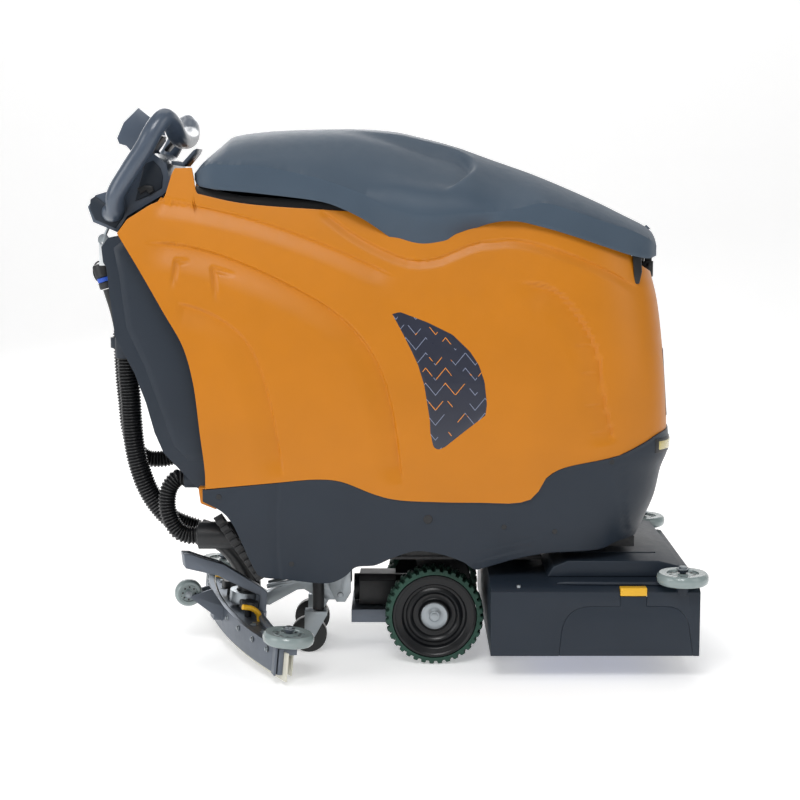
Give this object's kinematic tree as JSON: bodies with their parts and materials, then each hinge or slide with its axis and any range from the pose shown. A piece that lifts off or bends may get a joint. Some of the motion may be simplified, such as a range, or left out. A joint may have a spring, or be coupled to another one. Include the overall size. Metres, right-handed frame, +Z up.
{
  "type": "floor scrubber machine",
  "caption": "Walk-behind floor scrubber-dryer with a tank body, hinged lid, drive wheels, raised cylindrical brush deck and a curved rear squeegee on a swinging tow arm.",
  "frame": {"origin": "on the floor under the middle of the machine's box", "axes": "+X forward along the machine, +Y towards its left side, +Z up"},
  "size_m": [1.2481, 0.699, 1.121],
  "materials": {
    "orange_plastic": "satin moulded, fine grain",
    "lid_plastic": "matte moulded grain",
    "slate_plastic": "satin moulded",
    "grip_plastic": "semi-gloss",
    "black_plastic": "satin",
    "black_rubber": "matte",
    "frame_paint": "powder coat",
    "zinc_steel": "zinc plated",
    "cast_aluminium": "cast and blasted",
    "motor_iron": "painted black",
    "battery_block": "black case",
    "tyre_rubber": "matte tread",
    "castor_rubber": "matte",
    "clear_tyre": "translucent urethane",
    "blade_rubber": "translucent rubber",
    "yellow_plastic": "satin",
    "brush_bristle": "nylon bristle"
  },
  "bodies": {
    "machine": {"chassis_frame": "frame_paint", "hitch_bracket": "zinc_steel", "base_cowl": "slate_plastic", "solution_tank": "orange_plastic", "recovery_tank": "slate_plastic", "tank_seal": "black_rubber", "lid_hinge": "black_plastic", "battery_pack": "battery_block", "vacuum_motor": "cast_aluminium", "solution_pump": "black_plastic", "solution_filter": "black_plastic", "deck_actuator": "black_plastic", "transaxle": "cast_aluminium", "drive_motor": "motor_iron", "console": "grip_plastic", "handlebar": "grip_plastic", "display_pod": "grip_plastic", "tool_tray": "black_plastic", "suction_hose": "black_rubber", "drain_hose": "black_rubber", "tank_line_hose": "black_rubber"},
    "lid": {"lid": "lid_plastic"},
    "drive_wheel_right": {"drive_tyre_right": "tyre_rubber", "drive_hub_right": "black_plastic"},
    "drive_wheel_left": {"drive_tyre_left": "tyre_rubber", "drive_hub_left": "black_plastic"},
    "castor_right": {"castor_fork_right": "zinc_steel"},
    "castor_left": {"castor_fork_left": "zinc_steel"},
    "castor_right_wheel": {"castor_wheel_right": "castor_rubber"},
    "castor_left_wheel": {"castor_wheel_left": "castor_rubber"},
    "tow_arm": {"tow_arm": "zinc_steel", "suction_elbow": "black_rubber"},
    "squeegee_head": {"squeegee_body": "cast_aluminium", "squeegee_band": "cast_aluminium", "rear_blade": "blade_rubber", "front_blade": "blade_rubber", "squeegee_handle": "cast_aluminium"},
    "squeegee_roller_right": {"squeegee_roller_right": "clear_tyre"},
    "squeegee_roller_left": {"squeegee_roller_left": "clear_tyre"},
    "squeegee_knob_right": {"squeegee_knob_right": "black_plastic"},
    "squeegee_knob_left": {"squeegee_knob_left": "black_plastic"},
    "rear_stop_wheel": {"rear_stop_wheel": "clear_tyre"},
    "deck": {"deck_housing": "slate_plastic", "deck_cover": "slate_plastic", "brush_motor": "cast_aluminium"},
    "brush_rear": {"brush_rear": "brush_bristle"},
    "brush_front": {"brush_front": "brush_bristle"},
    "deck_roller_right": {"deck_roller_right": "clear_tyre"},
    "deck_roller_left": {"deck_roller_left": "clear_tyre"},
    "side_panel_right": {"side_panel_right": "slate_plastic"},
    "side_panel_left": {"side_panel_left": "slate_plastic"},
    "panel_latch_right": {"panel_latch_right": "yellow_plastic"},
    "panel_latch_left": {"panel_latch_left": "yellow_plastic"},
    "start_button": {"start_button": "yellow_plastic"},
    "suction_button": {"suction_button": "black_plastic"},
    "drive_paddle_right": {"drive_paddle_right": "black_plastic"},
    "drive_paddle_left": {"drive_paddle_left": "black_plastic"},
    "ignition_key": {"ignition_key": "zinc_steel"},
    "key_tag": {"key_tag": "yellow_plastic"},
    "drain_cap": {"drain_cap": "black_plastic"}
  },
  "joints": [
    {"name": "lid_open", "type": "hinge", "parent": "machine", "child": "lid", "pos_m": [0.515, 0, 0.806], "axis": [0, 1, 0], "range_deg": [0, 80]},
    {"name": "drive_spin_right", "type": "hinge", "parent": "machine", "child": "drive_wheel_right", "pos_m": [0.078, -0.1525, 0.1], "axis": [0, 1, 0], "continuous": true},
    {"name": "drive_spin_left", "type": "hinge", "parent": "machine", "child": "drive_wheel_left", "pos_m": [0.078, 0.1525, 0.1], "axis": [0, 1, 0], "continuous": true},
    {"name": "castor_swivel_right", "type": "hinge", "parent": "machine", "child": "castor_right", "pos_m": [-0.162, -0.075, 0.0835], "axis": [0, 0, 1], "continuous": true},
    {"name": "castor_swivel_left", "type": "hinge", "parent": "machine", "child": "castor_left", "pos_m": [-0.162, 0.075, 0.0835], "axis": [0, 0, 1], "continuous": true},
    {"name": "castor_spin_right", "type": "hinge", "parent": "castor_right", "child": "castor_right_wheel", "pos_m": [-0.182, -0.075, 0.0375], "axis": [0, 1, 0], "continuous": true},
    {"name": "castor_spin_left", "type": "hinge", "parent": "castor_left", "child": "castor_left_wheel", "pos_m": [-0.182, 0.075, 0.0375], "axis": [0, 1, 0], "continuous": true},
    {"name": "squeegee_lift", "type": "hinge", "parent": "machine", "child": "tow_arm", "pos_m": [-0.117, 0, 0.115], "axis": [0, 1, 0], "range_deg": [-5, 5], "deforming": ["suction_hose"]},
    {"name": "squeegee_swing", "type": "hinge", "parent": "tow_arm", "child": "squeegee_head", "pos_m": [-0.31431, 0, 0.09713], "axis": [0.0872, 0, 0.9962], "range_deg": [-37.5, 2.5]},
    {"name": "squeegee_roller_spin_right", "type": "hinge", "parent": "squeegee_head", "child": "squeegee_roller_right", "pos_m": [-0.21109, -0.29551, 0.0876], "axis": [0.0872, 0, 0.9962], "continuous": true},
    {"name": "squeegee_roller_spin_left", "type": "hinge", "parent": "squeegee_head", "child": "squeegee_roller_left", "pos_m": [-0.39861, 0.30152, 0.104], "axis": [0.0872, 0, 0.9962], "continuous": true},
    {"name": "squeegee_knob_turn_right", "type": "hinge", "parent": "squeegee_head", "child": "squeegee_knob_right", "pos_m": [-0.30651, -0.08994, 0.10147], "axis": [0.0872, 0, 0.9962], "range_deg": [0, 540]},
    {"name": "squeegee_knob_turn_left", "type": "hinge", "parent": "squeegee_head", "child": "squeegee_knob_left", "pos_m": [-0.35924, 0.07791, 0.10608], "axis": [0.0872, 0, 0.9962], "range_deg": [0, 540]},
    {"name": "rear_stop_wheel_spin", "type": "hinge", "parent": "squeegee_head", "child": "rear_stop_wheel", "pos_m": [-0.43712, -0.03909, 0.1159], "axis": [-0.2996, 0.9537, 0.0262], "continuous": true},
    {"name": "deck_lift", "type": "slide", "parent": "machine", "child": "deck", "axis": [0, 0, 1], "range_m": [-0.046, 0]},
    {"name": "brush_front_spin", "type": "hinge", "parent": "deck", "child": "brush_front", "pos_m": [0.453, 0, 0.11], "axis": [0, 1, 0], "continuous": true},
    {"name": "brush_rear_spin", "type": "hinge", "parent": "deck", "child": "brush_rear", "pos_m": [0.32, 0, 0.11], "axis": [0, 1, 0], "continuous": true},
    {"name": "deck_roller_spin_right", "type": "hinge", "parent": "deck", "child": "deck_roller_right", "pos_m": [0.561, -0.29, 0.206], "axis": [0, 0, 1], "continuous": true},
    {"name": "deck_roller_spin_left", "type": "hinge", "parent": "deck", "child": "deck_roller_left", "pos_m": [0.561, 0.29, 0.206], "axis": [0, 0, 1], "continuous": true},
    {"name": "side_panel_slide_right", "type": "slide", "parent": "deck", "child": "side_panel_right", "axis": [0, -1, 0], "range_m": [0, 0.1]},
    {"name": "side_panel_slide_left", "type": "slide", "parent": "deck", "child": "side_panel_left", "axis": [0, 1, 0], "range_m": [0, 0.1]},
    {"name": "panel_latch_press_right", "type": "slide", "parent": "side_panel_right", "child": "panel_latch_right", "axis": [0, 1, 0], "range_m": [0, 0.0025], "stiffness_N_per_m": 600},
    {"name": "panel_latch_press_left", "type": "slide", "parent": "side_panel_left", "child": "panel_latch_left", "axis": [0, -1, 0], "range_m": [0, 0.0025], "stiffness_N_per_m": 600},
    {"name": "start_button_press", "type": "slide", "parent": "machine", "child": "start_button", "axis": [0.695, 0, -0.719], "range_m": [0, 0.0025], "stiffness_N_per_m": 400},
    {"name": "suction_button_press", "type": "slide", "parent": "machine", "child": "suction_button", "axis": [0.695, 0, -0.719], "range_m": [0, 0.0025], "stiffness_N_per_m": 400},
    {"name": "drive_paddle_pull_right", "type": "hinge", "parent": "machine", "child": "drive_paddle_right", "pos_m": [-0.4865, -0.11, 1.0375], "axis": [0, 1, 0], "range_deg": [0, 8], "stiffness_Nm_per_rad": 1},
    {"name": "drive_paddle_pull_left", "type": "hinge", "parent": "machine", "child": "drive_paddle_left", "pos_m": [-0.4865, 0.11, 1.0375], "axis": [0, 1, 0], "range_deg": [0, 8], "stiffness_Nm_per_rad": 1},
    {"name": "key_turn", "type": "hinge", "parent": "machine", "child": "ignition_key", "pos_m": [-0.5793, -0.104, 0.8813], "axis": [-0.4253, 0, -0.905], "range_deg": [0, 90]},
    {"name": "key_tag_swing", "type": "hinge", "parent": "ignition_key", "child": "key_tag", "pos_m": [-0.592, -0.1, 0.852], "axis": [0, 1, 0], "range_deg": [-10, 40]},
    {"name": "drain_cap_pull", "type": "slide", "parent": "machine", "child": "drain_cap", "axis": [-0.2837, 0, 0.9589], "range_m": [0, 0.03]}
  ],
  "couplings": [
    {"joint": "brush_rear_spin", "follows": "brush_front_spin", "ratio": -1}
  ]
}
